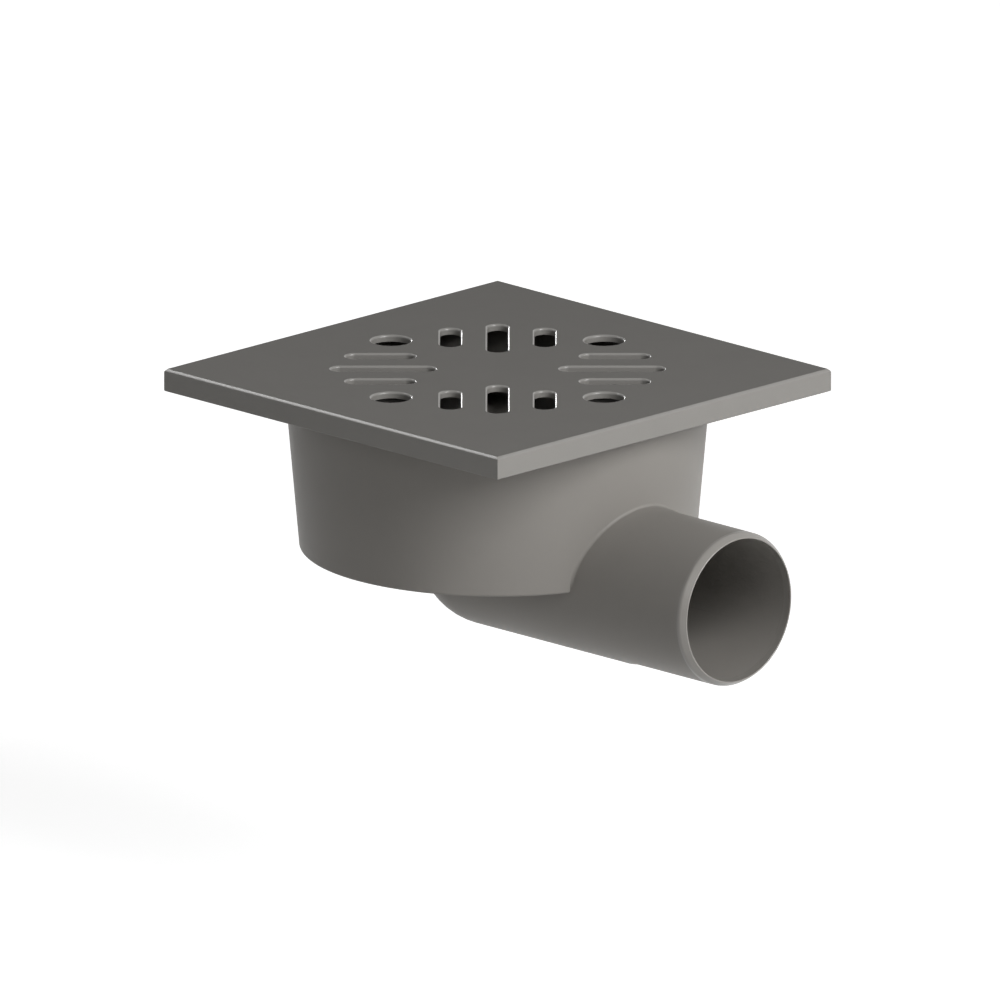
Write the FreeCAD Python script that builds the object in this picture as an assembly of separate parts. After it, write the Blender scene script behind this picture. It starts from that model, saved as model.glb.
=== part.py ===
import FreeCAD, Part
import math
import os

# Square cover plate, its top face level with the finished floor at z = 0
PLATE_SIDE = 150.0
PLATE_EDGE_HEIGHT = 7.5
PLATE_WALL = 2.2
SKIRT_WALL = 2.2
PLATE_EDGE_BEVEL = 0.8

# Water slots in the cover, in four groups that point at the plate's corners
SLOT_WIDTH = 6.5
LONG_SLOT_START = 19.8
LONG_SLOT_END = 53.0
SHORT_SLOT_START = 26.3
SHORT_SLOT_END = 48.3
SLOT_SPACING = 15.0
ROUND_HOLE_DIAMETER = 12.5
ROUND_HOLE_FROM_CENTRE = 47.9
SLOT_GROUPS = 4

# Ribs and locating tabs under the cover
RIB_WALL = 1.6
RIB_DEPTH = 4.0
RIB_TO_POT_CLEARANCE = 1.0
GROUP_RIB_OFFSET = 23.0
CORNER_RIBS = 3
CORNER_RIB_ANGLE = 15.0
TAB_COUNT = 4
TAB_ANGLE = 24.0
TAB_WALL = 2.0
TAB_DEPTH = 8.0
TAB_CLEARANCE = 0.4

# Tapered pot inside the cover's skirt, its rim against the cover's underside
SKIRT_TO_POT_CLEARANCE = 4.7
POT_TAPER = 5.0
POT_DEPTH = 58.0
POT_WALL = 2.5
POT_FLOOR = 2.5
POT_BASE_BEVEL = 0.8

# Side outlet along +X: round elbow, thicker root and a plain spigot for 50 mm waste pipe
PIPE_DIAMETER = 50.0
PIPE_WALL = 1.8
PIPE_BELOW_POT = 0.5
ROOT_STEP = 0.4
ROOT_LENGTH = 2.5
SHOULDER_LENGTH = 2.0
SPIGOT_LENGTH = 38.7
SPIGOT_TIP_LENGTH = 2.0
SPIGOT_TIP_DEPTH = 1.4

# Upright weir pipe, a little narrower than the outlet, that holds the water back in the pot
WEIR_INSIDE_PIPE = 3.2
WEIR_WALL = 2.5
WEIR_FOOT_STEP = 2.5

# Loose bell over the weir pipe, which makes the odour trap
BELL_BELOW_RIBS = 2.0
BELL_WALL = 1.8
BELL_HEADROOM = 8.0
BELL_RIM_ABOVE_PIPE = 2.0
BELL_WATERWAY = 6.5
BELL_SHOULDER_BEVEL = 1.0
FIN_COUNT = 4
FIN_WALL = 1.6
FIN_INSIDE_WEIR = 4.0
FIN_OVERLAP = 6.0
FIN_CLEARANCE = 0.4
GRIP_LENGTH = 20.0
GRIP_WALL = 2.5
GRIP_CORNER = 3.0
GRIP_CLEARANCE = 1.2

UP = FreeCAD.Vector(0, 0, 1)
ORIGIN = FreeCAD.Vector(0, 0, 0)
OUT = FreeCAD.Vector(1, 0, 0)

# Levels and radii that more than one piece shares
plate_underside = -PLATE_WALL
rib_bottom = plate_underside - RIB_DEPTH
skirt_bottom = -PLATE_EDGE_HEIGHT
skirt_inside = PLATE_SIDE / 2 - SKIRT_WALL
pot_rim = plate_underside
pot_rim_radius = skirt_inside - SKIRT_TO_POT_CLEARANCE
pot_bottom = -POT_DEPTH
pot_base_radius = pot_rim_radius - POT_TAPER
pot_floor = pot_bottom + POT_FLOOR
pot_slope = POT_TAPER / (pot_rim - pot_bottom)
pipe_radius = PIPE_DIAMETER / 2
pipe_bore = pipe_radius - PIPE_WALL
root_radius = pipe_radius + ROOT_STEP
pipe_axis = pot_bottom - PIPE_BELOW_POT
pipe_crown = pipe_axis + root_radius
weir_inside = pipe_bore - WEIR_INSIDE_PIPE
weir_outside = weir_inside + WEIR_WALL
bell_top = rib_bottom - BELL_BELOW_RIBS
bell_ceiling = bell_top - BELL_WALL
weir_top = bell_ceiling - BELL_HEADROOM
bell_rim = pipe_crown + BELL_RIM_ABOVE_PIPE
bell_inside = weir_outside + BELL_WATERWAY
bell_outside = bell_inside + BELL_WALL


def point(r, z):
    """Point of a profile, r from the pot's axis."""
    return FreeCAD.Vector(r, 0, z)


def profile(corners):
    """Flat face inside a closed outline."""
    return Part.Face(Part.makePolygon(corners + corners[:1]))


def revolved(corners, angle=360):
    """Solid of revolution about the pot's axis from a closed profile."""
    return profile(corners).revolve(ORIGIN, UP, angle)


def bevelled(shape, size, wanted):
    """Shape with the edges that pass the test bevelled."""
    return shape.makeChamfer(size, [edge for edge in shape.Edges if wanted(edge)])


def level_at(z):
    """Test for an edge that lies at one level."""
    return lambda edge: abs(edge.BoundBox.ZMin - z) < 1e-4 and abs(edge.BoundBox.ZMax - z) < 1e-4


def around(shapes, count, first_angle):
    """Copies of the shapes turned about the pot's axis."""
    turned = []
    for step in range(count):
        for shape in shapes:
            copy = shape.copy()
            copy.rotate(ORIGIN, UP, first_angle + step * 360 / count)
            turned.append(copy)
    return turned


def pot_outside(z):
    """Outer radius of the pot's tapered wall at one level."""
    return pot_base_radius + pot_slope * (z - pot_bottom)


def pot_inside(z):
    """Inner radius of the pot's tapered wall at one level."""
    return pot_outside(z) - POT_WALL


def pot():
    """Outside of the pot, as a solid cone with a bevelled base."""
    cone = revolved(
        [
            point(0, pot_bottom),
            point(pot_base_radius, pot_bottom),
            point(pot_rim_radius, pot_rim),
            point(0, pot_rim),
        ]
    )
    return bevelled(cone, POT_BASE_BEVEL, level_at(pot_bottom))


def chamber():
    """Room inside the pot's wall and above its floor."""
    return revolved(
        [
            point(0, pot_floor),
            point(pot_inside(pot_floor), pot_floor),
            point(pot_inside(pot_rim), pot_rim),
            point(0, pot_rim),
        ]
    )


def on_pipe_axis(x):
    """Point on the outlet's axis."""
    return FreeCAD.Vector(x, 0, pipe_axis)


def elbow(root_end):
    """Outside of the weir pipe, the round elbow below it and the outlet's root."""
    ball = Part.makeSphere(root_radius, on_pipe_axis(0))
    root = Part.makeCylinder(root_radius, root_end, on_pipe_axis(0), OUT)
    weir = Part.makeCylinder(weir_outside, weir_top - pipe_axis, on_pipe_axis(0), UP)
    return ball.fuse([root, weir])


def spigot(root_end, spigot_start, spigot_end):
    """Outside of the free end: the shoulder that stops a pushed-on socket, the pipe and its tapered tip."""
    tip_start = spigot_end - SPIGOT_TIP_LENGTH
    tip_radius = pipe_radius - SPIGOT_TIP_DEPTH
    shoulder = Part.makeCone(root_radius, pipe_radius, SHOULDER_LENGTH, on_pipe_axis(root_end), OUT)
    free_end = Part.makeCylinder(pipe_radius, tip_start - spigot_start, on_pipe_axis(spigot_start), OUT)
    tip = Part.makeCone(pipe_radius, tip_radius, SPIGOT_TIP_LENGTH, on_pipe_axis(tip_start), OUT)
    return shoulder.fuse([free_end, tip])


def waterway(spigot_end):
    """Bore of the outlet, and the weir's bore with its tapered foot in the elbow."""
    outlet = Part.makeCylinder(pipe_bore, spigot_end, on_pipe_axis(0), OUT)
    taper_drop = math.sqrt(pipe_bore**2 - weir_inside**2)
    foot_drop = pipe_bore - WEIR_FOOT_STEP
    foot_radius = math.sqrt(pipe_bore**2 - foot_drop**2)
    weir = revolved(
        [
            point(0, pipe_axis - foot_drop),
            point(foot_radius, pipe_axis - foot_drop),
            point(weir_inside, pipe_axis - taper_drop),
            point(weir_inside, weir_top),
            point(0, weir_top),
        ]
    )
    return outlet.fuse(weir)


def drain_body():
    """Pot, weir pipe, elbow and outlet spigot, moulded in one piece."""
    root_end = pot_outside(pipe_crown) + ROOT_LENGTH
    spigot_start = root_end + SHOULDER_LENGTH
    spigot_end = spigot_start + SPIGOT_LENGTH
    pipework = elbow(root_end).fuse(spigot(root_end, spigot_start, spigot_end))
    body = pot().fuse(pipework).cut(chamber().cut(pipework)).cut(waterway(spigot_end))
    return body.removeSplitter()


def slot_cutter(start, end, offset):
    """Straight slot with round ends, along +X."""
    half = SLOT_WIDTH / 2
    near = Part.makeCylinder(half, PLATE_EDGE_HEIGHT, FreeCAD.Vector(start + half, offset, skirt_bottom), UP)
    far = Part.makeCylinder(half, PLATE_EDGE_HEIGHT, FreeCAD.Vector(end - half, offset, skirt_bottom), UP)
    corner = FreeCAD.Vector(start + half, offset - half, skirt_bottom)
    middle = Part.makeBox(end - start - SLOT_WIDTH, SLOT_WIDTH, PLATE_EDGE_HEIGHT, corner)
    return near.fuse([far, middle]).removeSplitter()


def water_openings():
    """All the slots and round holes, as cutters."""
    group = [
        slot_cutter(LONG_SLOT_START, LONG_SLOT_END, 0),
        slot_cutter(SHORT_SLOT_START, SHORT_SLOT_END, SLOT_SPACING),
        slot_cutter(SHORT_SLOT_START, SHORT_SLOT_END, -SLOT_SPACING),
    ]
    centre = FreeCAD.Vector(ROUND_HOLE_FROM_CENTRE, 0, skirt_bottom)
    hole = Part.makeCylinder(ROUND_HOLE_DIAMETER / 2, PLATE_EDGE_HEIGHT, centre, UP)
    return around(group, SLOT_GROUPS, 45) + around([hole], SLOT_GROUPS, 0)


def rib(start, offset):
    """Upright rib under the plate, along +X and longer than it needs to be."""
    corner = FreeCAD.Vector(start, offset - RIB_WALL / 2, rib_bottom)
    return Part.makeBox(PLATE_SIDE, RIB_WALL, RIB_DEPTH, corner)


def rib_room(radius):
    """Round room about the pot's axis, as deep as the ribs."""
    return Part.makeCylinder(radius, RIB_DEPTH, FreeCAD.Vector(0, 0, rib_bottom), UP)


def group_ribs():
    """Ribs in the pot's mouth that part the slot groups from the round holes."""
    start = GROUP_RIB_OFFSET - RIB_WALL / 2
    pair = [rib(start, GROUP_RIB_OFFSET), rib(start, -GROUP_RIB_OFFSET)]
    mouth = rib_room(pot_inside(rib_bottom) - RIB_TO_POT_CLEARANCE)
    return [one.common(mouth) for one in around(pair, SLOT_GROUPS, 45)]


def corner_ribs():
    """Ribs that spread from the pot into the plate's corners."""
    fan = []
    for step in range(CORNER_RIBS):
        one = rib(0, 0)
        one.rotate(ORIGIN, UP, (step - (CORNER_RIBS - 1) / 2) * CORNER_RIB_ANGLE)
        fan.append(one)
    half = skirt_inside + SKIRT_WALL / 2
    pocket = Part.makeBox(2 * half, 2 * half, RIB_DEPTH, FreeCAD.Vector(-half, -half, rib_bottom))
    pot_room = rib_room(pot_rim_radius + RIB_TO_POT_CLEARANCE)
    return [one.common(pocket).cut(pot_room) for one in around(fan, SLOT_GROUPS, 45)]


def locating_tab():
    """Curved tab under the plate that finds the pot's mouth."""
    low = plate_underside - TAB_DEPTH
    radius = pot_inside(low) - TAB_CLEARANCE
    return revolved(
        [
            point(radius, plate_underside),
            point(radius, low),
            point(radius - TAB_WALL, low),
            point(radius - TAB_WALL, plate_underside),
        ],
        TAB_ANGLE,
    )


def cover_plate():
    """Square slotted cover with its skirt, ribs and locating tabs."""
    half = PLATE_SIDE / 2
    low = FreeCAD.Vector(-half, -half, skirt_bottom)
    block = Part.makeBox(PLATE_SIDE, PLATE_SIDE, PLATE_EDGE_HEIGHT, low)
    block = bevelled(block, PLATE_EDGE_BEVEL, level_at(0))
    hollow = Part.makeBox(
        2 * skirt_inside,
        2 * skirt_inside,
        PLATE_EDGE_HEIGHT - PLATE_WALL,
        FreeCAD.Vector(-skirt_inside, -skirt_inside, skirt_bottom),
    )
    tabs = around([locating_tab()], TAB_COUNT, -TAB_ANGLE / 2)
    plate = block.cut(hollow).fuse(tabs + group_ribs() + corner_ribs())
    return plate.cut(water_openings()).removeSplitter()


def bell_cup():
    """Inverted cup over the weir pipe."""
    cup = revolved(
        [
            point(0, bell_top),
            point(bell_outside, bell_top),
            point(bell_outside, bell_rim),
            point(bell_inside, bell_rim),
            point(bell_inside, bell_ceiling),
            point(0, bell_ceiling),
        ]
    )
    return bevelled(cup, BELL_SHOULDER_BEVEL, level_at(bell_top))


def bell_fin():
    """Fin inside the bell that sits on the weir and hooks outside it."""
    inner_end = weir_inside - FIN_INSIDE_WEIR
    hook = weir_outside + FIN_CLEARANCE
    hook_end = weir_top - FIN_OVERLAP
    in_wall = bell_inside + BELL_WALL / 2
    in_ceiling = bell_ceiling + BELL_WALL / 2
    sheet = profile(
        [
            point(inner_end, in_ceiling),
            point(inner_end, weir_top),
            point(hook, weir_top),
            point(hook, hook_end),
            point(in_wall, hook_end),
            point(in_wall, in_ceiling),
        ]
    )
    sheet.translate(FreeCAD.Vector(0, -FIN_WALL / 2, 0))
    return sheet.extrude(FreeCAD.Vector(0, FIN_WALL, 0))


def grip():
    """Upright grip on the bell's top, pinched to lift it out."""
    height = plate_underside - GRIP_CLEARANCE - bell_top
    low = FreeCAD.Vector(-GRIP_LENGTH / 2, -GRIP_WALL / 2, bell_top)
    blade = Part.makeBox(GRIP_LENGTH, GRIP_WALL, height, low)
    upper_edges = [edge for edge in blade.Edges if level_at(bell_top + height)(edge)]
    return blade.makeFillet(GRIP_CORNER, [edge for edge in upper_edges if edge.BoundBox.XLength < 1e-4])


def trap_bell():
    """Loose bell: cup, seating fins and the grip that lifts it out."""
    fins = around([bell_fin()], FIN_COUNT, 45)
    return bell_cup().fuse([grip()] + fins).removeSplitter()


os.makedirs("parts", exist_ok=True)
pieces = {
    "drain_body": drain_body(),
    "cover_plate": cover_plate(),
    "trap_bell": trap_bell(),
}
for name, shape in pieces.items():
    shape.exportStep("parts/" + name + ".step")
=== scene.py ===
import math

import bmesh
import bpy
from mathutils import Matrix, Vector


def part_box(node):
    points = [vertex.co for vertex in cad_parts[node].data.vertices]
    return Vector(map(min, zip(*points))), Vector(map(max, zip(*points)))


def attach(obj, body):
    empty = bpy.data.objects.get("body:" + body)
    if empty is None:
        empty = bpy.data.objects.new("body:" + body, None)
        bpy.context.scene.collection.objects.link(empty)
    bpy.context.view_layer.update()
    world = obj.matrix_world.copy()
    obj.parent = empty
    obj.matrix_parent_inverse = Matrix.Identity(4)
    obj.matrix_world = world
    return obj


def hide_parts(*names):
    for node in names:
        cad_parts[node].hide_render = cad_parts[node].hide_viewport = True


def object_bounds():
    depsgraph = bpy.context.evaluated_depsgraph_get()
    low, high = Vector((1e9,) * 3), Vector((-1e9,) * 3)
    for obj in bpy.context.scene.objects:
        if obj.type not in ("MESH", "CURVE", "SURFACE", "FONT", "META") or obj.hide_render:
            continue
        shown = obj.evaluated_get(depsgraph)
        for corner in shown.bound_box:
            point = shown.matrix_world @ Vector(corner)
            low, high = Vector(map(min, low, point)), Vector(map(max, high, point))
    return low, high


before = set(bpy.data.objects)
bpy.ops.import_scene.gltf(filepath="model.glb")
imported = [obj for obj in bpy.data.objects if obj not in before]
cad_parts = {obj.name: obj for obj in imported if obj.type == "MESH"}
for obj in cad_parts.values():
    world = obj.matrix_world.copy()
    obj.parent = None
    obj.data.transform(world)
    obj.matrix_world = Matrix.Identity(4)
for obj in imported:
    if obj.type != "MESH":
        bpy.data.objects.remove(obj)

bpy.ops.object.select_all(action="DESELECT")
cad_low, cad_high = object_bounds()

# Camera: a parallel view from the outlet's front corner, a little above the floor's level,
# with the photograph's scale and framing.
VIEW_AZIMUTH = math.radians(45)
VIEW_ELEVATION = math.radians(15.47)
VIEW_WIDTH = 0.318
VIEW_CENTRE_RIGHT = 0.00076
VIEW_CENTRE_DROP = 0.0418
VIEW_DISTANCE = 1.2

view_right = Vector((math.cos(VIEW_AZIMUTH), math.sin(VIEW_AZIMUTH), 0))
view_back = Vector(
    (
        math.sin(VIEW_AZIMUTH) * math.cos(VIEW_ELEVATION),
        -math.cos(VIEW_AZIMUTH) * math.cos(VIEW_ELEVATION),
        math.sin(VIEW_ELEVATION),
    )
)
view_up = view_back.cross(view_right)
view_centre = view_right * VIEW_CENTRE_RIGHT - view_up * VIEW_CENTRE_DROP
bpy.ops.object.camera_add(
    location=view_centre + view_back * VIEW_DISTANCE,
    rotation=(math.pi / 2 - VIEW_ELEVATION, 0, VIEW_AZIMUTH),
)
camera = bpy.context.object
camera.data.type = "ORTHO"
camera.data.ortho_scale = VIEW_WIDTH
bpy.context.scene.camera = camera

# Light: broad soft panels on the outlet's side and over the front corner, with a faint even sky.
# Two small lamps behind the drain draw thin highlights on the rounded edges. The camera and the
# plastic's sheen see a plain white backdrop.
WHITE = (1, 1, 1, 1)
BACKDROP_LEVEL = 1
SKY_LEVEL = 0.08
LAMP_AIM = Vector((0.02, 0, -0.04))
LAMP_DISTANCE = 1.36
PANEL_SIDE = 0.7
GLINT_SIDE = 0.2


def seen_directly(tree):
    """Switch that is on for rays from the camera and for what they reflect or pass through."""
    ray = tree.nodes.new("ShaderNodeLightPath")
    reflected = tree.nodes.new("ShaderNodeMath")
    reflected.operation = "MAXIMUM"
    passed = tree.nodes.new("ShaderNodeMath")
    passed.operation = "MAXIMUM"
    tree.links.new(ray.outputs["Is Camera Ray"], reflected.inputs[0])
    tree.links.new(ray.outputs["Is Glossy Ray"], reflected.inputs[1])
    tree.links.new(reflected.outputs["Value"], passed.inputs[0])
    tree.links.new(ray.outputs["Is Transmission Ray"], passed.inputs[1])
    return passed.outputs["Value"]


def soft_lamp(name, azimuth, elevation, side, power):
    """Square lamp that faces the drain from one direction."""
    around = math.radians(azimuth)
    up = math.radians(elevation)
    away = Vector(
        (math.cos(around) * math.cos(up), math.sin(around) * math.cos(up), math.sin(up))
    )
    bpy.ops.object.light_add(
        type="AREA",
        location=LAMP_AIM + away * LAMP_DISTANCE,
        rotation=away.to_track_quat("Z", "Y").to_euler(),
    )
    lamp = bpy.context.object
    lamp.name = name
    lamp.data.size = side
    lamp.data.energy = power


bpy.context.scene.view_settings.view_transform = "Standard"
sky = bpy.data.worlds.new("even_sky")
bpy.context.scene.world = sky
sky.use_nodes = True
nodes = sky.node_tree.nodes
links = sky.node_tree.links
lighting = nodes["Background"]
lighting.inputs["Color"].default_value = WHITE
lighting.inputs["Strength"].default_value = SKY_LEVEL
backdrop = nodes.new("ShaderNodeBackground")
backdrop.inputs["Color"].default_value = WHITE
backdrop.inputs["Strength"].default_value = BACKDROP_LEVEL
seen = nodes.new("ShaderNodeMixShader")
links.new(seen_directly(sky.node_tree), seen.inputs["Fac"])
links.new(lighting.outputs["Background"], seen.inputs[1])
links.new(backdrop.outputs["Background"], seen.inputs[2])
links.new(seen.outputs["Shader"], nodes["World Output"].inputs["Surface"])
soft_lamp("side_panel", azimuth=0, elevation=34, side=PANEL_SIDE, power=17.6)
soft_lamp("low_panel", azimuth=20, elevation=0, side=PANEL_SIDE, power=5.2)
soft_lamp("front_panel", azimuth=-60, elevation=30, side=PANEL_SIDE, power=1.6)
soft_lamp("slot_glint", azimuth=151, elevation=6, side=GLINT_SIDE, power=2.2)
soft_lamp("edge_glint", azimuth=202, elevation=43, side=GLINT_SIDE, power=2.2)

# Floor: plain and pale, well below the drain, which hangs from its cover in a floor and stands on
# nothing. The camera sees it white, with the drain's faint soft shadow.
FLOOR_SIDE = 6
FLOOR_DROP = 0.1
FLOOR_COLOUR = (0.7, 0.7, 0.7, 1)
FLOOR_ROUGHNESS = 0.9
FLOOR_GLOW = 0.74

bpy.ops.mesh.primitive_plane_add(size=FLOOR_SIDE, location=(0, 0, cad_low.z - FLOOR_DROP))
floor = bpy.context.object
floor.name = "floor"
floor_paint = bpy.data.materials.new("pale_floor")
floor_paint.use_nodes = True
nodes = floor_paint.node_tree.nodes
links = floor_paint.node_tree.links
matt = nodes["Principled BSDF"]
matt.inputs["Base Color"].default_value = FLOOR_COLOUR
matt.inputs["Roughness"].default_value = FLOOR_ROUGHNESS
matt.inputs["Specular IOR Level"].default_value = 0
glow = nodes.new("ShaderNodeEmission")
glow.inputs["Strength"].default_value = FLOOR_GLOW
lifted = nodes.new("ShaderNodeAddShader")
seen = nodes.new("ShaderNodeMixShader")
links.new(matt.outputs["BSDF"], lifted.inputs[0])
links.new(glow.outputs["Emission"], lifted.inputs[1])
links.new(seen_directly(floor_paint.node_tree), seen.inputs["Fac"])
links.new(matt.outputs["BSDF"], seen.inputs[1])
links.new(lifted.outputs["Shader"], seen.inputs[2])
links.new(seen.outputs["Shader"], nodes["Material Output"].inputs["Surface"])
floor.data.materials.append(floor_paint)

# Pot and outlet: the tapered pot, the upright weir pipe in its middle, the round elbow and the
# spigot are one moulding in grey plastic. The wall blends into the outlet with a small radius,
# and the spigot's thicker root stops a pushed-on socket.
body_low, body_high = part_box("drain_body")
BASE_LEVEL = -0.058
POT_TAPER = 0.005
POT_WALL = 0.0025
POT_FLOOR = 0.0025
POT_SIDES = 240
LINE_SPREAD = 1.4
BASE_ROUND = 0.0008
FLOOR_ROUND = 0.002
SEAM_BLEND = 0.001
PIPE_SIDES = 128
ROOT_RADIUS = 0.0254
SPIGOT_RADIUS = 0.025
SPIGOT_LENGTH = 0.0387
SHOULDER_LENGTH = 0.002
TIP_LENGTH = 0.002
TIP_DEPTH = 0.0014
TIP_START_ROUND = 0.0006
TIP_EDGE_ROUND = 0.00012
BORE_RADIUS = 0.0232
BORE_LIP = 0.0001
ELBOW_STEPS = 16
WEIR_RADIUS = 0.0225
WEIR_BORE = 0.020
WEIR_TOP = -0.018
WEIR_FOOT = 0.0207
WEIR_ROUND = 0.0004
WEIR_SIDES = 96
CUT_PAST = 0.0025
MERGE = 0.00002
SEAM_TOLERANCE = 2 * MERGE
SEAM_START = 1.5 * BASE_ROUND
PLACE_DIGITS = 6
FACING = 0.9
SMOOTH_ANGLE = math.radians(35)
BODY_COLOUR = (0.212, 0.201, 0.186)
BODY_PALE = (0.228, 0.217, 0.201)
PLASTIC_ROUGHNESS = 0.5
PLASTIC_SHEEN = 0.2
MOTTLE_SCALE = 55
MOTTLE_DETAIL = 4
MOTTLE_BREAKUP = 0.6
MOTTLE_RANGE = (0.3, 0.7)
ROUGHNESS_SPREAD = (-0.03, 0.04)
GRAIN_SCALE = 2200
GRAIN_DETAIL = 2
GRAIN_STRENGTH = 0.12
GRAIN_HEIGHT = 0.0001
SMOOTH_ROUGHNESS = 0.28
SMOOTH_SHEEN = 0.5
SMOOTH_REACH = 1.2

rim_level = body_high.z
rim_radius = -body_low.x
base_radius = rim_radius - POT_TAPER
pot_height = rim_level - BASE_LEVEL
pipe_axis = body_low.z + ROOT_RADIUS
spigot_end = body_high.x
root_end = spigot_end - SPIGOT_LENGTH - SHOULDER_LENGTH


def start_shaping(piece):
    """Opens one piece alone in edit mode."""
    bpy.ops.object.select_all(action="DESELECT")
    piece.select_set(True)
    bpy.context.view_layer.objects.active = piece
    bpy.ops.object.mode_set(mode="EDIT")


def stop_shaping():
    """Closes edit mode."""
    bpy.ops.object.mode_set(mode="OBJECT")


def pick_faces(piece, wanted):
    """Selects the faces whose centre and normal pass the test."""
    bpy.ops.mesh.select_mode(type="FACE")
    bpy.ops.mesh.select_all(action="DESELECT")
    mesh = bmesh.from_edit_mesh(piece.data)
    for face in mesh.faces:
        face.select_set(wanted(face.calc_center_median(), face.normal))
    bmesh.update_edit_mesh(piece.data)


def pick_edges(piece, wanted):
    """Selects the edges whose two ends pass the test."""
    bpy.ops.mesh.select_mode(type="EDGE")
    bpy.ops.mesh.select_all(action="DESELECT")
    mesh = bmesh.from_edit_mesh(piece.data)
    for edge in mesh.edges:
        edge.select_set(all(wanted(corner.co) for corner in edge.verts))
    bmesh.update_edit_mesh(piece.data)


def sort_corners(piece):
    """Orders the corners by place, so that a later merge keeps the same ones in every run."""

    def place(corner):
        spot = (-corner.co.z, corner.co.x, corner.co.y)
        return [round(value, PLACE_DIGITS) for value in spot]

    mesh = bmesh.from_edit_mesh(piece.data)
    for number, corner in enumerate(sorted(mesh.verts, key=place)):
        corner.index = number
    mesh.verts.sort()
    bmesh.update_edit_mesh(piece.data)


def pull(move, scale=(1, 1, 1), centre=(0, 0, 0)):
    """Extrudes the selected faces, then widens or narrows them about a centre."""
    bpy.ops.mesh.extrude_region_move(TRANSFORM_OT_translate={"value": move})
    bpy.ops.transform.resize(value=scale, center_override=centre)


def round_off(size, steps):
    """Rounds the selected edges."""
    bpy.ops.mesh.bevel(offset=size, segments=steps, affect="EDGES", clamp_overlap=False)


def face_outwards():
    """Turns all the faces of a closed shape outwards."""
    bpy.ops.mesh.select_all(action="SELECT")
    bpy.ops.mesh.normals_make_consistent(inside=False)


def combine(piece, other, how):
    """Joins another shape to a piece, or cuts it away, and removes it."""
    change = piece.modifiers.new(how.lower(), "BOOLEAN")
    change.operation = how
    change.solver = "EXACT"
    change.object = other
    bpy.context.view_layer.objects.active = piece
    bpy.ops.object.modifier_apply(modifier=change.name)
    bpy.data.objects.remove(other)


def round_bar(name, radius, start, end, sides):
    """Cylinder along the outlet, from one length to another."""
    bpy.ops.mesh.primitive_cylinder_add(
        vertices=sides,
        radius=radius,
        depth=end - start,
        location=((start + end) / 2, 0, pipe_axis),
        rotation=(0, math.pi / 2, 0),
    )
    bar = bpy.context.object
    bar.name = name
    bpy.ops.object.transform_apply()
    return bar


def upright_bar(name, radius, low, high, sides):
    """Cylinder about the pot's axis, from one level to another."""
    bpy.ops.mesh.primitive_cylinder_add(
        vertices=sides,
        radius=radius,
        depth=high - low,
        location=(0, 0, (low + high) / 2),
    )
    bar = bpy.context.object
    bar.name = name
    bpy.ops.object.transform_apply()
    return bar


def wall_radius(level):
    """Outer radius of the pot's tapered wall at one level."""
    return base_radius + POT_TAPER * (level - BASE_LEVEL) / pot_height


def draw_pipework():
    """Outside of the elbow, the root, the spigot and the weir pipe."""
    pipe = round_bar("pipework", ROOT_RADIUS, 0, root_end, PIPE_SIDES)
    start_shaping(pipe)
    pick_faces(pipe, lambda centre, normal: normal.x > FACING)
    narrow = SPIGOT_RADIUS / ROOT_RADIUS
    pull((SHOULDER_LENGTH, 0, 0), (1, narrow, narrow), (0, 0, pipe_axis))
    pull((SPIGOT_LENGTH - TIP_LENGTH, 0, 0))
    narrow = (SPIGOT_RADIUS - TIP_DEPTH) / SPIGOT_RADIUS
    pull((TIP_LENGTH, 0, 0), (1, narrow, narrow), (0, 0, pipe_axis))
    pick_edges(pipe, lambda corner: abs(corner.x - spigot_end + TIP_LENGTH) < MERGE)
    round_off(TIP_START_ROUND, steps=3)
    pick_edges(pipe, lambda corner: corner.x > spigot_end - MERGE)
    round_off(TIP_EDGE_ROUND, steps=2)
    pick_faces(pipe, lambda centre, normal: normal.x < -FACING)
    for step in range(1, ELBOW_STEPS):
        near = math.pi / 2 * (step - 1) / ELBOW_STEPS
        far = math.pi / 2 * step / ELBOW_STEPS
        narrow = math.cos(far) / math.cos(near)
        pull(
            (ROOT_RADIUS * (math.sin(near) - math.sin(far)), 0, 0),
            (1, narrow, narrow),
            (0, 0, pipe_axis),
        )
    pull((ROOT_RADIUS * (math.sin(far) - 1), 0, 0))
    bpy.ops.mesh.merge(type="CENTER")
    stop_shaping()
    weir = upright_bar("weir", WEIR_RADIUS, pipe_axis, WEIR_TOP, WEIR_SIDES)
    start_shaping(weir)
    pick_edges(weir, lambda corner: corner.z > WEIR_TOP - MERGE)
    round_off(WEIR_ROUND, steps=2)
    stop_shaping()
    combine(pipe, weir, "UNION")
    return pipe


def wall_lines(pipe):
    """Angles of the wall's upright lines: they meet the pipe's own, then spread out evenly."""
    half = [0.0]
    for corner in pipe.data.vertices:
        above = corner.co.z > BASE_LEVEL and corner.co.y > MERGE
        if above and abs(corner.co.x - root_end) < MERGE:
            half.append(math.asin(corner.co.y / wall_radius(corner.co.z)))
    half.sort()
    widest = 2 * math.pi / POT_SIDES
    gap = half[-1] - half[-2]
    while gap < widest:
        half.append(half[-1] + gap)
        gap *= LINE_SPREAD
    last = half[-1]
    count = round((math.pi - last) / widest)
    half += [last + (math.pi - last) * step / count for step in range(1, count)]
    return half + [math.pi] + [-turn for turn in reversed(half[1:])]


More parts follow.
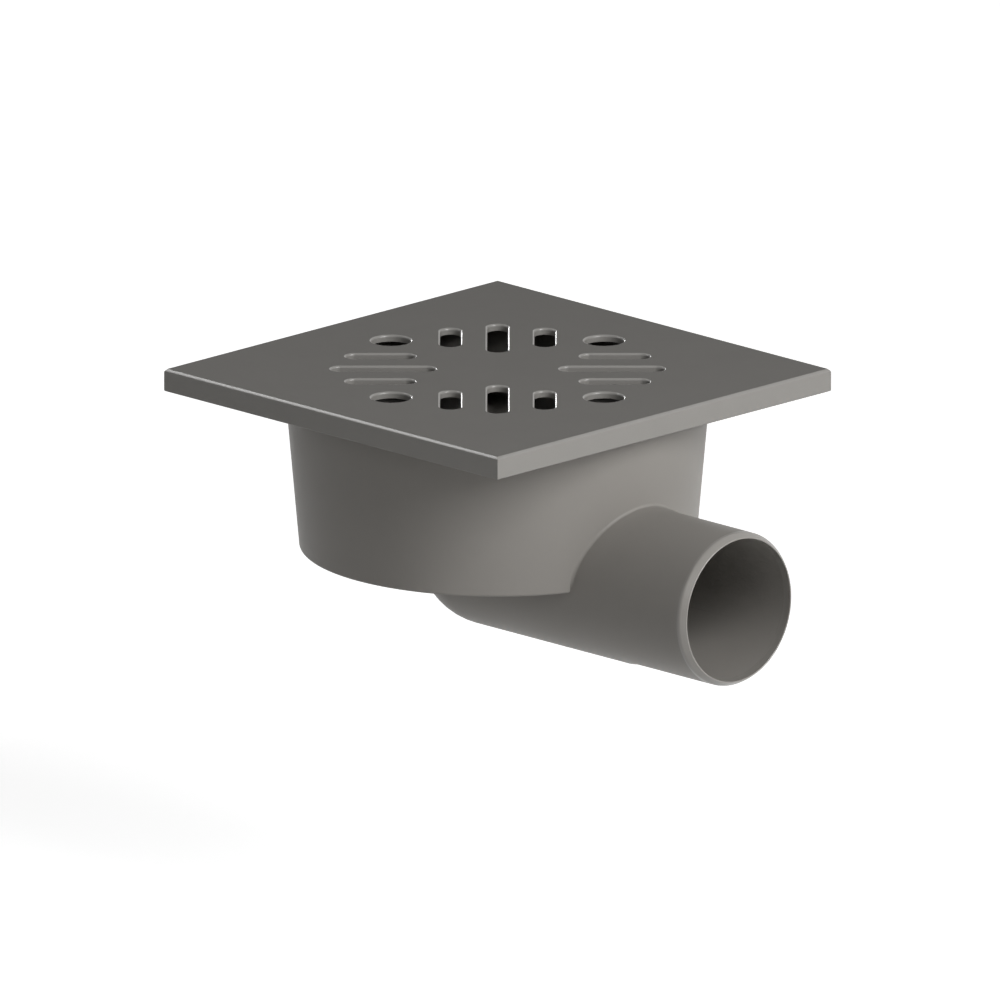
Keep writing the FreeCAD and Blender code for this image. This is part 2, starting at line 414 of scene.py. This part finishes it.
def draw_pot(lines):
    """Outside of the pot, as a solid tapered block with a rounded base."""
    bpy.ops.mesh.primitive_circle_add(
        vertices=len(lines), radius=base_radius, fill_type="NGON", location=(0, 0, BASE_LEVEL)
    )
    pot = bpy.context.object
    pot.name = "drain_moulding"
    bpy.ops.object.transform_apply()
    for corner, turn in zip(pot.data.vertices, lines):
        corner.co.x = base_radius * math.cos(turn)
        corner.co.y = base_radius * math.sin(turn)
    start_shaping(pot)
    bpy.ops.mesh.select_all(action="SELECT")
    widen = rim_radius / base_radius
    pull((0, 0, pot_height), (widen, widen, 1))
    face_outwards()
    pick_edges(pot, lambda corner: corner.z < BASE_LEVEL + MERGE)
    round_off(BASE_ROUND, steps=3)
    stop_shaping()
    return pot


def blend_seam(body):
    """Rounds the inside corner where the pot's wall meets the outlet."""

    def on_seam(corner):
        off_pipe = math.hypot(corner.y, corner.z - pipe_axis) - ROOT_RADIUS
        off_wall = math.hypot(corner.x, corner.y) - wall_radius(corner.z)
        on_both = max(abs(off_pipe), abs(off_wall)) < SEAM_TOLERANCE
        return on_both and corner.x > 0 and corner.z > BASE_LEVEL + SEAM_START

    start_shaping(body)
    sort_corners(body)
    bpy.ops.mesh.select_all(action="SELECT")
    bpy.ops.mesh.remove_doubles(threshold=MERGE)
    pick_edges(body, on_seam)
    round_off(SEAM_BLEND, steps=3)
    stop_shaping()


def draw_chamber(pipework):
    """Room inside the pot's wall, around the weir pipe and above the floor."""
    floor_level = BASE_LEVEL + POT_FLOOR
    bpy.ops.mesh.primitive_cone_add(
        vertices=POT_SIDES,
        radius1=wall_radius(floor_level) - POT_WALL,
        radius2=rim_radius - POT_WALL,
        depth=rim_level - floor_level,
        location=(0, 0, (rim_level + floor_level) / 2),
    )
    room = bpy.context.object
    bpy.ops.object.transform_apply()
    start_shaping(room)
    pick_edges(room, lambda corner: corner.z < floor_level + MERGE)
    round_off(FLOOR_ROUND, steps=4)
    pick_faces(room, lambda centre, normal: normal.z > FACING)
    pull((0, 0, CUT_PAST))
    stop_shaping()
    combine(room, pipework, "DIFFERENCE")
    return room


def draw_waterway():
    """Bore of the outlet with its lip, and the weir's bore with its tapered foot."""
    bore = round_bar("bore", BORE_RADIUS, 0, spigot_end - BORE_LIP, PIPE_SIDES)
    start_shaping(bore)
    pick_faces(bore, lambda centre, normal: normal.x > FACING)
    widen = (BORE_RADIUS + BORE_LIP) / BORE_RADIUS
    pull((BORE_LIP, 0, 0), (1, widen, widen), (0, 0, pipe_axis))
    pull((CUT_PAST, 0, 0))
    stop_shaping()
    taper_start = pipe_axis - math.sqrt(BORE_RADIUS**2 - WEIR_BORE**2)
    fall = upright_bar("fall", WEIR_BORE, taper_start, WEIR_TOP - WEIR_ROUND, WEIR_SIDES)
    start_shaping(fall)
    pick_faces(fall, lambda centre, normal: normal.z > FACING)
    widen = (WEIR_BORE + WEIR_ROUND) / WEIR_BORE
    pull((0, 0, WEIR_ROUND), (widen, widen, 1))
    pull((0, 0, CUT_PAST))
    pick_faces(fall, lambda centre, normal: normal.z < -FACING)
    narrow = math.sqrt(BORE_RADIUS**2 - WEIR_FOOT**2) / WEIR_BORE
    pull((0, 0, pipe_axis - WEIR_FOOT - taper_start), (narrow, narrow, 1))
    stop_shaping()
    combine(bore, fall, "UNION")
    return bore


def finish_shape(piece, name):
    bpy.ops.object.select_all(action="DESELECT")
    piece.select_set(True)
    bpy.context.view_layer.objects.active = piece
    bpy.ops.object.shade_smooth_by_angle(angle=SMOOTH_ANGLE)
    even = piece.modifiers.new("even_normals", "WEIGHTED_NORMAL")
    even.keep_sharp = True
    bpy.ops.object.modifier_apply(modifier=even.name)
    piece.name = name
    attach(piece, "root")


def moulded_plastic(name, colour, pale):
    """Satin moulded plastic: faint mottling in colour and sheen, and a fine grain."""
    plastic = bpy.data.materials.new(name)
    plastic.use_nodes = True
    nodes = plastic.node_tree.nodes
    links = plastic.node_tree.links
    shader = nodes["Principled BSDF"]
    shader.inputs["Specular IOR Level"].default_value = PLASTIC_SHEEN
    place = nodes.new("ShaderNodeTexCoord")
    mottle = nodes.new("ShaderNodeTexNoise")
    mottle.inputs["Scale"].default_value = MOTTLE_SCALE
    mottle.inputs["Detail"].default_value = MOTTLE_DETAIL
    mottle.inputs["Roughness"].default_value = MOTTLE_BREAKUP
    tint = nodes.new("ShaderNodeMix")
    tint.data_type = "RGBA"
    tint.inputs["A"].default_value = (*colour, 1)
    tint.inputs["B"].default_value = (*pale, 1)
    sheen = nodes.new("ShaderNodeMapRange")
    sheen.inputs["From Min"].default_value = MOTTLE_RANGE[0]
    sheen.inputs["From Max"].default_value = MOTTLE_RANGE[1]
    sheen.inputs["To Min"].default_value = PLASTIC_ROUGHNESS + ROUGHNESS_SPREAD[0]
    sheen.inputs["To Max"].default_value = PLASTIC_ROUGHNESS + ROUGHNESS_SPREAD[1]
    grain = nodes.new("ShaderNodeTexNoise")
    grain.inputs["Scale"].default_value = GRAIN_SCALE
    grain.inputs["Detail"].default_value = GRAIN_DETAIL
    relief = nodes.new("ShaderNodeBump")
    relief.inputs["Strength"].default_value = GRAIN_STRENGTH
    relief.inputs["Distance"].default_value = GRAIN_HEIGHT
    links.new(place.outputs["Object"], mottle.inputs["Vector"])
    links.new(place.outputs["Object"], grain.inputs["Vector"])
    links.new(mottle.outputs["Fac"], tint.inputs["Factor"])
    links.new(mottle.outputs["Fac"], sheen.inputs["Value"])
    links.new(tint.outputs["Result"], shader.inputs["Base Color"])
    links.new(sheen.outputs["Result"], shader.inputs["Roughness"])
    links.new(grain.outputs["Fac"], relief.inputs["Height"])
    links.new(relief.outputs["Normal"], shader.inputs["Normal"])
    return plastic


def zone_beyond(plastic, axis, start, end):
    """Mask that rises from 0 to 1 where one coordinate passes from start to end."""
    nodes = plastic.node_tree.nodes
    links = plastic.node_tree.links
    place = nodes.new("ShaderNodeTexCoord")
    split = nodes.new("ShaderNodeSeparateXYZ")
    reached = nodes.new("ShaderNodeMapRange")
    reached.inputs["From Min"].default_value = start
    reached.inputs["From Max"].default_value = end
    links.new(place.outputs["Object"], split.inputs["Vector"])
    links.new(split.outputs[axis], reached.inputs["Value"])
    return reached.outputs["Result"]


def change_finish(plastic, zone, roughness, sheen):
    """Gives the plastic another roughness and sheen inside the zone."""
    nodes = plastic.node_tree.nodes
    links = plastic.node_tree.links
    shader = nodes["Principled BSDF"]
    for name, value in (("Roughness", roughness), ("Specular IOR Level", sheen)):
        socket = shader.inputs[name]
        blend = nodes.new("ShaderNodeMix")
        blend.inputs["A"].default_value = socket.default_value
        blend.inputs["B"].default_value = value
        if socket.is_linked:
            links.new(socket.links[0].from_socket, blend.inputs["A"])
        links.new(zone, blend.inputs["Factor"])
        links.new(blend.outputs["Result"], socket)


pipework = draw_pipework()
pipe_room = pipework.copy()
pipe_room.data = pipework.data.copy()
bpy.context.collection.objects.link(pipe_room)
body = draw_pot(wall_lines(pipework))
combine(body, pipework, "UNION")
blend_seam(body)
combine(body, draw_chamber(pipe_room), "DIFFERENCE")
combine(body, draw_waterway(), "DIFFERENCE")
finish_shape(body, "drain_moulding")
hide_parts("drain_body")
body_grey = moulded_plastic("body_grey", BODY_COLOUR, BODY_PALE)
smooth_from = spigot_end - SMOOTH_REACH * (TIP_LENGTH + TIP_START_ROUND)
tip_zone = zone_beyond(body_grey, "X", smooth_from, smooth_from + TIP_EDGE_ROUND)
change_finish(body_grey, tip_zone, SMOOTH_ROUGHNESS, SMOOTH_SHEEN)
body.data.materials.append(body_grey)

# Cover: a square plate with its skirt, stiffening ribs and four curved tabs that find the pot's
# mouth, moulded in one piece of the same grey plastic. The slots have rounded mouths. It lies
# loose on the pot's rim and lifts out.
cover_low, cover_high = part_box("cover_plate")
PLATE_HEIGHT = 0.0075
PLATE_WALL = 0.0022
EDGE_BEVEL = 0.0008
EDGE_ROUND = 0.0002
LOWER_EDGE_ROUND = 0.0004
SLOT_WIDTH = 0.0065
LONG_SLOT = (0.0198, 0.053)
SHORT_SLOT = (0.0263, 0.0483)
SLOT_SPACING = 0.015
HOLE_DIAMETER = 0.0125
HOLE_FROM_CENTRE = 0.0479
MOUTH_ROUND = 0.0008
MOUTH_STEPS = 4
SLOT_SIDES = 48
RIB_WALL = 0.0016
RIB_DEPTH = 0.004
RIB_GAP = 0.001
RIB_ROUND = RIB_WALL / 5
ROUND_CUT_SIDES = 96
GROUP_RIB_OFFSET = 0.023
CORNER_RIB_ANGLES = (-15, 0, 15)
TAB_ANGLE = math.radians(24)
TAB_STEPS = 12
TAB_WALL = 0.002
TAB_GAP = 0.0004
LEVEL_FACING = 0.99
FLAT_ANGLE = math.radians(1)
COVER_COLOUR = (0.206, 0.199, 0.187)
COVER_PALE = (0.222, 0.215, 0.202)
EDGE_ZONE = (-1.2 * EDGE_BEVEL, -EDGE_BEVEL)
TOP_ZONE = (-0.1 * EDGE_BEVEL, -0.03 * EDGE_BEVEL)
TOP_ROUGHNESS = 0.7
TOP_SHEEN = 0.06
TOP_PAINTED_SHADE = 0.68

cover_half = cover_high.x
plate_underside = -PLATE_WALL
plate_middle = plate_underside + PLATE_WALL / 2
rib_bottom = plate_underside - RIB_DEPTH
cut_bottom = rib_bottom - RIB_DEPTH
skirt_inside = cover_half - PLATE_WALL
skirt_middle = skirt_inside + PLATE_WALL / 2
rib_mouth = wall_radius(rib_bottom) - POT_WALL - RIB_GAP


def block(name, low, high):
    """Rectangular block between two corners."""
    middle = [(a + b) / 2 for a, b in zip(low, high)]
    size = [b - a for a, b in zip(low, high)]
    bpy.ops.mesh.primitive_cube_add(size=1, location=middle, scale=size)
    made = bpy.context.object
    made.name = name
    bpy.ops.object.transform_apply()
    return made


def turned_copy(piece, angle):
    """Copy of a piece, with its own mesh, turned about the pot's axis."""
    bpy.ops.object.select_all(action="DESELECT")
    twin = piece.copy()
    twin.data = piece.data.copy()
    bpy.context.collection.objects.link(twin)
    twin.select_set(True)
    bpy.context.view_layer.objects.active = twin
    twin.rotation_euler = (0, 0, angle)
    bpy.ops.object.transform_apply()
    return twin


def add_four(piece, shape, first_turn):
    """Joins four copies of a shape to a piece, a quarter turn apart, and removes the shape."""
    for quarter in range(4):
        combine(piece, turned_copy(shape, first_turn + quarter * math.pi / 2), "UNION")
    bpy.data.objects.remove(shape)


def paint_shade(plastic, zone, shade):
    """Multiplies the plastic's colour inside the zone, as painted shade."""
    nodes = plastic.node_tree.nodes
    links = plastic.node_tree.links
    socket = nodes["Principled BSDF"].inputs["Base Color"]
    shaded = nodes.new("ShaderNodeMix")
    shaded.data_type = "RGBA"
    shaded.blend_type = "MULTIPLY"
    shaded.inputs["B"].default_value = (shade, shade, shade, 1)
    links.new(zone, shaded.inputs["Factor"])
    links.new(socket.links[0].from_socket, shaded.inputs["A"])
    links.new(shaded.outputs["Result"], socket)


def draw_plate():
    """Plate and skirt, open underneath, with a softened bevel round the top."""

    def on_lower_edge(corner):
        from_middle = max(abs(corner.x), abs(corner.y))
        return corner.z < -PLATE_HEIGHT + MERGE and from_middle > skirt_inside + MERGE

    plate = block(
        "plate", (-cover_half, -cover_half, -PLATE_HEIGHT), (cover_half, cover_half, 0)
    )
    start_shaping(plate)
    pick_faces(plate, lambda centre, normal: normal.z < -FACING)
    bpy.ops.mesh.inset(thickness=PLATE_WALL)
    pull((0, 0, PLATE_HEIGHT - PLATE_WALL))
    pick_edges(plate, lambda corner: corner.z > -MERGE)
    round_off(EDGE_BEVEL, steps=1)
    pick_edges(plate, lambda corner: corner.z > -EDGE_BEVEL - MERGE)
    round_off(EDGE_ROUND, steps=2)
    pick_edges(plate, on_lower_edge)
    round_off(LOWER_EDGE_ROUND, steps=2)
    stop_shaping()
    return plate


def draw_rib(length):
    """Upright rib with rounded lower edges, from the pot's axis along +X."""
    rib = block(
        "corner_rib", (0, -RIB_WALL / 2, rib_bottom), (length, RIB_WALL / 2, plate_middle)
    )
    start_shaping(rib)
    pick_edges(rib, lambda corner: corner.z < rib_bottom + MERGE)
    round_off(RIB_ROUND, steps=2)
    stop_shaping()
    return rib


def add_group_ribs(plate):
    """Angled ribs in the pot's mouth that part the slot groups from the round holes."""
    near = GROUP_RIB_OFFSET - RIB_WALL / 2
    far = GROUP_RIB_OFFSET + RIB_WALL / 2
    rib = block("group_rib", (near, near, rib_bottom), (far, far, plate_middle))
    start_shaping(rib)
    pick_faces(rib, lambda centre, normal: normal.x > FACING)
    pull((cover_half, 0, 0))
    pick_faces(rib, lambda centre, normal: normal.y > FACING and centre.x < far)
    pull((0, cover_half, 0))
    bpy.ops.mesh.select_all(action="SELECT")
    bpy.ops.mesh.dissolve_limited(angle_limit=FLAT_ANGLE)
    pick_edges(rib, lambda corner: corner.z < rib_bottom + MERGE)
    round_off(RIB_ROUND, steps=2)
    stop_shaping()
    mouth = upright_bar("mouth", rib_mouth, cut_bottom, 0, ROUND_CUT_SIDES)
    combine(rib, mouth, "INTERSECT")
    add_four(plate, rib, math.pi / 4)


def add_corner_ribs(plate):
    """Ribs that spread from the pot into the plate's corners."""
    for angle in CORNER_RIB_ANGLES:
        reach = skirt_middle / math.cos(math.radians(45 - abs(angle)))
        rib = draw_rib(reach - RIB_WALL / 2)
        pot_room = upright_bar(
            "pot_room", rim_radius + RIB_GAP, cut_bottom, PLATE_WALL, ROUND_CUT_SIDES
        )
        combine(rib, pot_room, "DIFFERENCE")
        add_four(plate, rib, math.pi / 4 + math.radians(angle))


def add_tabs(plate):
    """Curved tabs that find the pot's mouth."""
    outside = wall_radius(cover_low.z) - POT_WALL - TAB_GAP

    def looks_clockwise(centre, normal):
        return normal.x * centre.y - normal.y * centre.x > FACING * outside

    tab = block(
        "tab", (outside - TAB_WALL, -MERGE, cover_low.z), (outside, MERGE, plate_middle)
    )
    start_shaping(tab)
    bpy.ops.transform.rotate(
        value=-TAB_ANGLE / 2, orient_axis="Z", center_override=(0, 0, 0)
    )
    pick_faces(tab, looks_clockwise)
    bpy.ops.mesh.spin(steps=TAB_STEPS, angle=TAB_ANGLE, center=(0, 0, 0), axis=(0, 0, 1))
    bpy.ops.mesh.select_all(action="SELECT")
    bpy.ops.mesh.remove_doubles(threshold=MERGE)
    face_outwards()
    stop_shaping()
    add_four(plate, tab, 0)


def draw_slot(name, start, end, width):
    """Cutter for a slot or hole along +X, flared at the top to leave a rounded mouth."""
    half = width / 2
    flare = (half + MOUTH_ROUND) / math.cos(math.pi / SLOT_SIDES)
    bpy.ops.mesh.primitive_circle_add(
        vertices=SLOT_SIDES,
        radius=flare,
        fill_type="NGON",
        location=(start + half, 0, PLATE_WALL),
        rotation=(0, 0, math.pi / SLOT_SIDES),
    )
    cutter = bpy.context.object
    cutter.name = name
    bpy.ops.object.transform_apply()
    start_shaping(cutter)
    if end - start > width:
        pick_edges(cutter, lambda corner: corner.x > start + half)
        bpy.ops.transform.translate(value=(end - start - width, 0, 0))
    bpy.ops.mesh.select_all(action="SELECT")
    pull((0, 0, -PLATE_WALL))
    face_outwards()
    for step in range(MOUTH_STEPS):
        near = math.pi / 2 * step / MOUTH_STEPS
        far = math.pi / 2 * (step + 1) / MOUTH_STEPS
        pick_faces(cutter, lambda centre, normal: normal.z < -LEVEL_FACING)
        bpy.ops.mesh.inset(
            thickness=MOUTH_ROUND * (math.sin(far) - math.sin(near)),
            depth=MOUTH_ROUND * (math.cos(near) - math.cos(far)),
        )
    pull((0, 0, -2 * PLATE_HEIGHT))
    stop_shaping()
    return cutter


def cut_openings(plate):
    """Cuts the slots, in four groups that point at the corners, and the four round holes."""
    long_slot = draw_slot("long_slot", *LONG_SLOT, SLOT_WIDTH)
    short_slot = draw_slot("short_slot", *SHORT_SLOT, SLOT_WIDTH)
    hole_start = HOLE_FROM_CENTRE - HOLE_DIAMETER / 2
    hole = draw_slot("hole", hole_start, hole_start + HOLE_DIAMETER, HOLE_DIAMETER)
    for quarter in range(4):
        turn = quarter * math.pi / 2
        combine(plate, turned_copy(hole, turn), "DIFFERENCE")
        combine(plate, turned_copy(long_slot, turn + math.pi / 4), "DIFFERENCE")
        for side in (-1, 1):
            flank = turned_copy(short_slot, 0)
            flank.location.y = side * SLOT_SPACING
            bpy.ops.object.transform_apply()
            combine(plate, turned_copy(flank, turn + math.pi / 4), "DIFFERENCE")
            bpy.data.objects.remove(flank)
    for pattern in (long_slot, short_slot, hole):
        bpy.data.objects.remove(pattern)


cover = draw_plate()
add_group_ribs(cover)
add_corner_ribs(cover)
add_tabs(cover)
cut_openings(cover)
finish_shape(cover, "slotted_cover")
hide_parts("cover_plate")
cover_grey = moulded_plastic("cover_grey", COVER_COLOUR, COVER_PALE)
edge_zone = zone_beyond(cover_grey, "Z", *EDGE_ZONE)
change_finish(cover_grey, edge_zone, SMOOTH_ROUGHNESS, SMOOTH_SHEEN)
top_zone = zone_beyond(cover_grey, "Z", *TOP_ZONE)
change_finish(cover_grey, top_zone, TOP_ROUGHNESS, TOP_SHEEN)
# Painted shade: the plate's flat top gets a darker colour, standing in for less light falling on
# it.
paint_shade(cover_grey, top_zone, TOP_PAINTED_SHADE)
cover.data.materials.append(cover_grey)

# Trap bell: a loose inverted cup over the weir pipe, which keeps the water seal. Four fins inside
# sit on the weir and hook outside it, and an upright grip on top lifts the bell out.
bell_low, bell_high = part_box("trap_bell")
CUP_TOP = -0.0082
CUP_WALL = 0.0018
CUP_ROUND = 0.001
CUP_SIDES = 128
FIN_WALL = 0.0016
FIN_INSIDE = 0.004
FIN_HOOK = 0.006
FIN_GAP = 0.0004
GRIP_LENGTH = 0.020
GRIP_WALL = 0.0025
GRIP_CORNER = 0.003

cup_radius = bell_high.x
cup_ceiling = CUP_TOP - CUP_WALL


def draw_cup():
    """Cup, open below, with a rounded shoulder and lip."""
    cup = upright_bar("cup", cup_radius, bell_low.z, CUP_TOP, CUP_SIDES)
    start_shaping(cup)
    pick_faces(cup, lambda centre, normal: normal.z < -FACING)
    bpy.ops.mesh.inset(thickness=CUP_WALL)
    pull((0, 0, cup_ceiling - bell_low.z))
    pick_edges(cup, lambda corner: corner.z > CUP_TOP - MERGE)
    round_off(CUP_ROUND, steps=4)
    stop_shaping()
    return cup


def draw_fin():
    """Fin along +X that sits on the weir and hooks outside it."""
    hook = WEIR_RADIUS + FIN_GAP
    fin = block(
        "fin",
        (WEIR_BORE - FIN_INSIDE, -FIN_WALL / 2, WEIR_TOP),
        (hook, FIN_WALL / 2, cup_ceiling + CUP_WALL / 2),
    )
    start_shaping(fin)
    pick_faces(fin, lambda centre, normal: normal.x > FACING)
    pull((cup_radius - CUP_WALL / 2 - hook, 0, 0))
    pick_faces(fin, lambda centre, normal: normal.z < -FACING and centre.x > hook)
    pull((0, 0, -FIN_HOOK))
    stop_shaping()
    return fin


def draw_grip():
    """Blade with rounded upper corners, pinched to lift the bell."""
    grip = block(
        "grip",
        (-GRIP_LENGTH / 2, -GRIP_WALL / 2, CUP_TOP - CUP_WALL / 2),
        (GRIP_LENGTH / 2, GRIP_WALL / 2, bell_high.z),
    )
    near_top = bell_high.z - MERGE
    near_end = GRIP_LENGTH / 2 - MERGE
    start_shaping(grip)
    for side in (-1, 1):
        pick_edges(grip, lambda corner: corner.z > near_top and side * corner.x > near_end)
        round_off(GRIP_CORNER, steps=6)
    stop_shaping()
    return grip


bell = draw_cup()
add_four(bell, draw_fin(), math.pi / 4)
combine(bell, draw_grip(), "UNION")
finish_shape(bell, "odour_bell")
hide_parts("trap_bell")
bell.data.materials.append(moulded_plastic("bell_grey", BODY_COLOUR, BODY_PALE))
